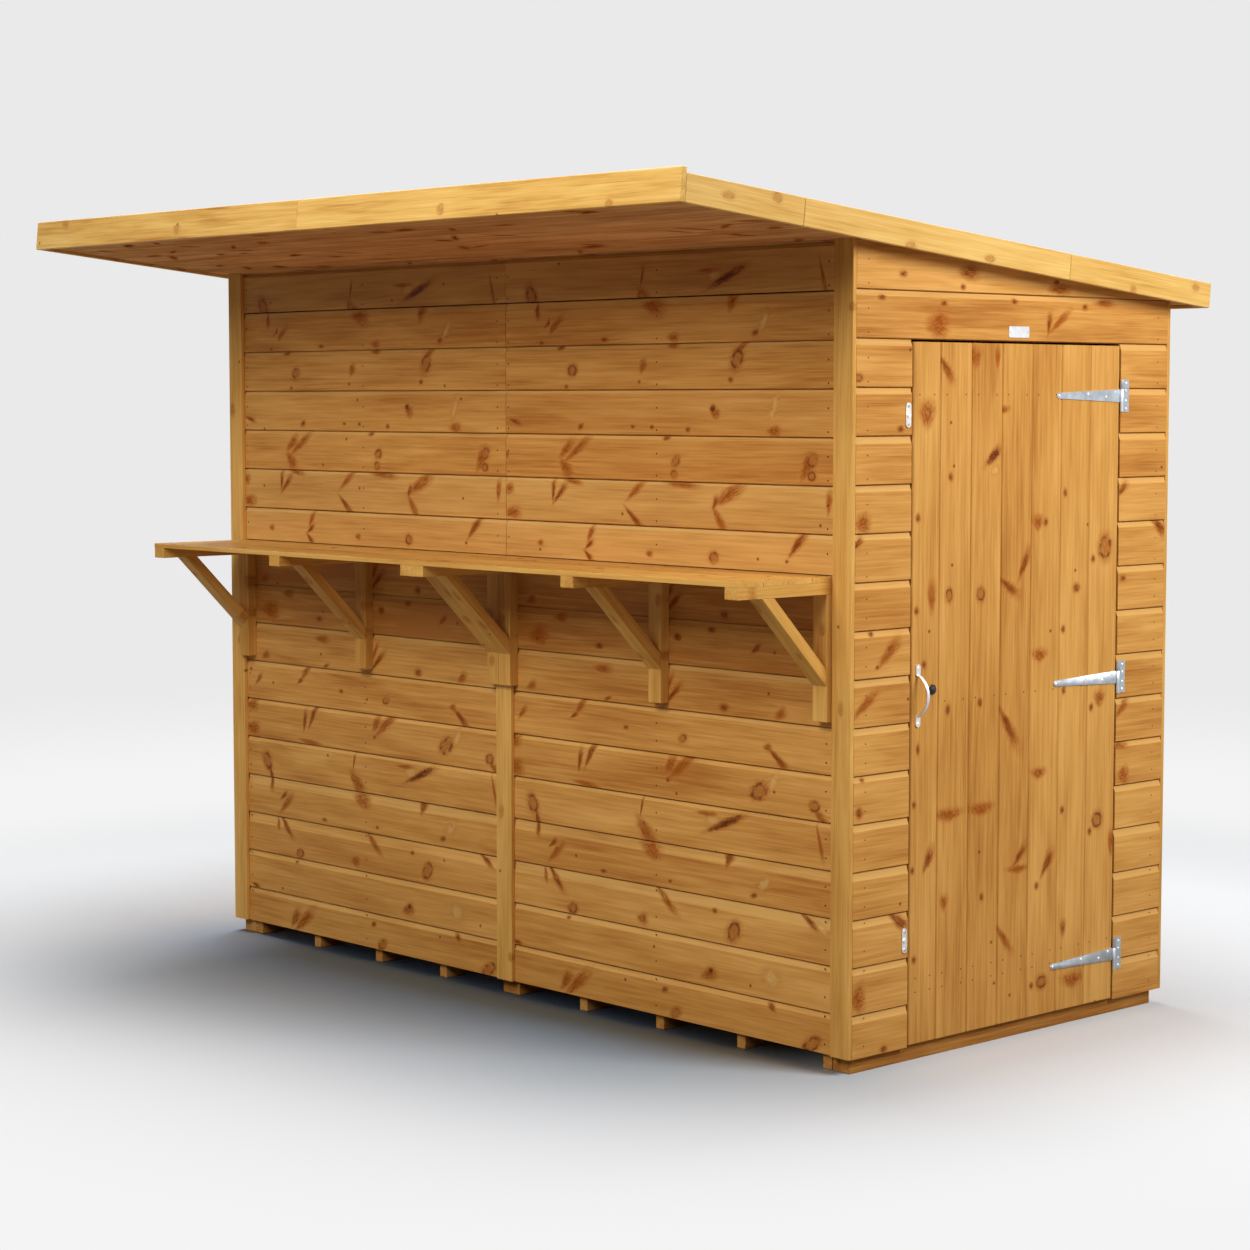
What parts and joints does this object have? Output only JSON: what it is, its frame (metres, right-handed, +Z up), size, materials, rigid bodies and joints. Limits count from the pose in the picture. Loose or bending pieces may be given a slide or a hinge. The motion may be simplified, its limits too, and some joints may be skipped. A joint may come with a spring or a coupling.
{
  "type": "outdoor garden bar",
  "caption": "Small timber garden bar: boarded cabin with a lean-to roof overhanging a bracketed bar shelf, shutters above the shelf and a plank door in one end.",
  "frame": {"origin": "centre of the floor's footprint, on the underside of the floor joists", "axes": "+X along the bar to the door end, +Y to the rear, +Z up"},
  "size_m": [2.556, 1.8668, 2.0351],
  "materials": {
    "cladding_boards": "honey-stained pine shiplap, satin",
    "door_boards": "honey-stained pine matchboard, satin",
    "floor_boards": "planed pine boards, bare",
    "roof_boards": "honey-stained pine boards, satin",
    "bar_boards": "honey-stained planed pine, satin",
    "trim_timber": "honey-stained planed pine, satin",
    "bracket_timber": "honey-stained planed pine, satin",
    "sawn_timber": "dip-stained sawn pine, matt",
    "roofing_felt": "mineral-faced bitumen felt, matt",
    "zinc_plate": "bright zinc-plated steel",
    "black_lock": "black lacquered metal"
  },
  "bodies": {
    "cabin": {"floor_joists": "sawn_timber", "floor_deck": "floor_boards", "front_studs": "sawn_timber", "front_rails": "sawn_timber", "front_cladding": "cladding_boards", "front_jamb_strips": "cladding_boards", "front_head_boards": "cladding_boards", "rear_studs": "sawn_timber", "rear_rails": "sawn_timber", "rear_cladding": "cladding_boards", "left_wall_studs": "sawn_timber", "left_wall_rails": "sawn_timber", "left_wall_cladding": "cladding_boards", "door_wall_studs": "sawn_timber", "door_wall_rails": "sawn_timber", "door_wall_cladding": "cladding_boards", "door_wall_header": "cladding_boards", "corner_trims": "trim_timber", "cover_strips": "trim_timber", "roof_soffit": "roof_boards", "roof_joists": "sawn_timber", "roof_deck": "roof_boards", "roof_felt": "roofing_felt", "fascia_boards": "trim_timber", "bargeboards": "trim_timber", "bar_top": "bar_boards", "bracket_legs": "bracket_timber", "bracket_arms": "bracket_timber", "bracket_braces": "bracket_timber", "turn_buttons": "zinc_plate", "name_plate": "zinc_plate", "tee_hinge_leaves": "zinc_plate", "hatch_hinge_leaves": "zinc_plate"},
    "door": {"door_boards": "door_boards", "door_ledges": "sawn_timber", "door_braces": "sawn_timber", "tee_hinge_straps": "zinc_plate", "pull_handle": "zinc_plate", "door_lock": "black_lock"},
    "hatch_left": {"hatch_left_boards": "cladding_boards", "hatch_left_battens": "sawn_timber", "hatch_left_hinges": "zinc_plate"},
    "hatch_right": {"hatch_right_boards": "cladding_boards", "hatch_right_battens": "sawn_timber", "hatch_right_hinges": "zinc_plate"}
  },
  "joints": [
    {"name": "door_hinge", "type": "hinge", "parent": "cabin", "child": "door", "pos_m": [1.2255, 0.3875, 0], "axis": [0, 0, 1], "range_deg": [0, 170]},
    {"name": "hatch_left_hinge", "type": "hinge", "parent": "cabin", "child": "hatch_left", "pos_m": [-0.57875, -0.535, 1.7955], "axis": [1, 0, 0], "range_deg": [0, 90]},
    {"name": "hatch_right_hinge", "type": "hinge", "parent": "cabin", "child": "hatch_right", "pos_m": [0.57875, -0.535, 1.7955], "axis": [1, 0, 0], "range_deg": [0, 90]}
  ]
}
